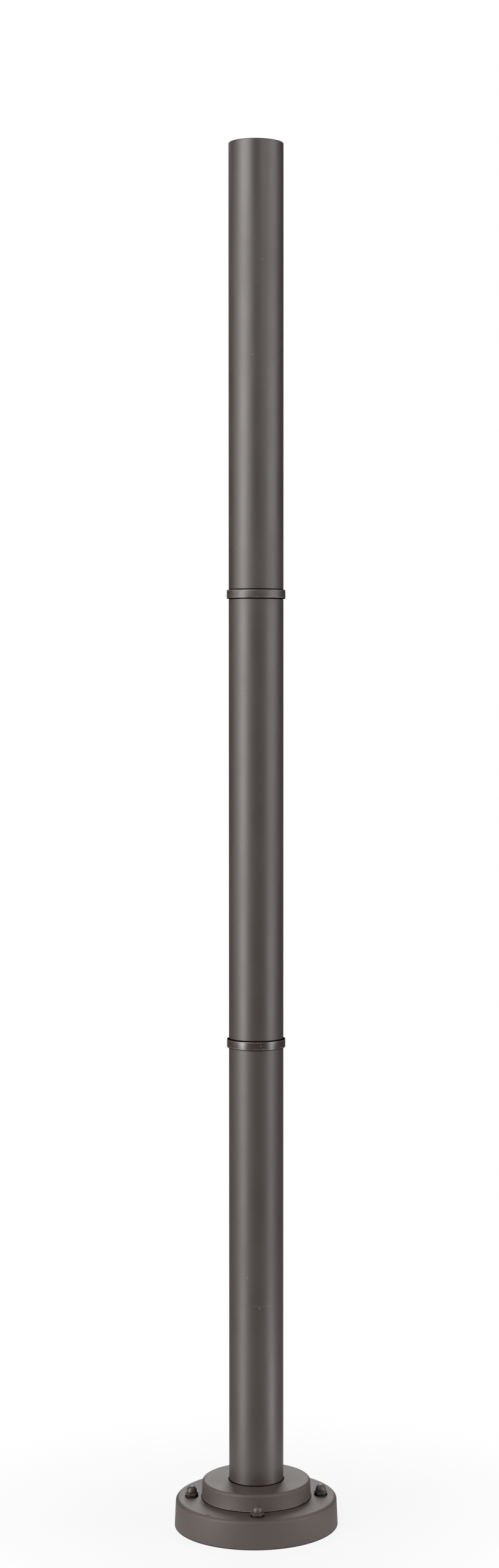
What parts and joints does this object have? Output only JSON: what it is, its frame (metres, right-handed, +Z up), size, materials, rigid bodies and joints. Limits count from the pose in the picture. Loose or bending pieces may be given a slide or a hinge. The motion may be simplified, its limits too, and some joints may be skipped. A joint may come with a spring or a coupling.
{
  "type": "lamp post",
  "caption": "Sectional round outdoor lamp post on a stepped round base; anchors to the ground with cap nuts and takes a lantern fitter over its open top.",
  "frame": {"origin": "centre of the base's rim, on the ground", "axes": "+Z up along the post, -Y towards cap_nut_1, +X towards cap_nut_2"},
  "size_m": [0.23, 0.23, 1.932],
  "materials": {
    "bronze_coat": "satin dark bronze powder coat on aluminium",
    "nut_coat": "satin dark bronze paint on steel",
    "bare_aluminium": "turned aluminium",
    "zinc_steel": "zinc-plated steel",
    "black_seal": "black sealing rubber"
  },
  "bodies": {
    "root": {"base_flange": "bronze_coat", "base_step": "bronze_coat", "foot_spigot": "bare_aluminium", "foot_bolt_1": "zinc_steel", "foot_bolt_2": "zinc_steel", "foot_bolt_3": "zinc_steel", "foot_bolt_4": "zinc_steel", "lower_tube": "bronze_coat", "lower_coupler": "bare_aluminium", "lower_collar": "bronze_coat", "middle_tube": "bronze_coat", "upper_coupler": "bare_aluminium", "upper_collar": "bronze_coat", "upper_tube": "bronze_coat", "nut_washer_1": "black_seal", "nut_washer_2": "black_seal", "nut_washer_3": "black_seal", "nut_washer_4": "black_seal", "cap_nut_1": "nut_coat", "cap_nut_2": "nut_coat", "cap_nut_3": "nut_coat", "cap_nut_4": "nut_coat"}
  },
  "joints": []
}
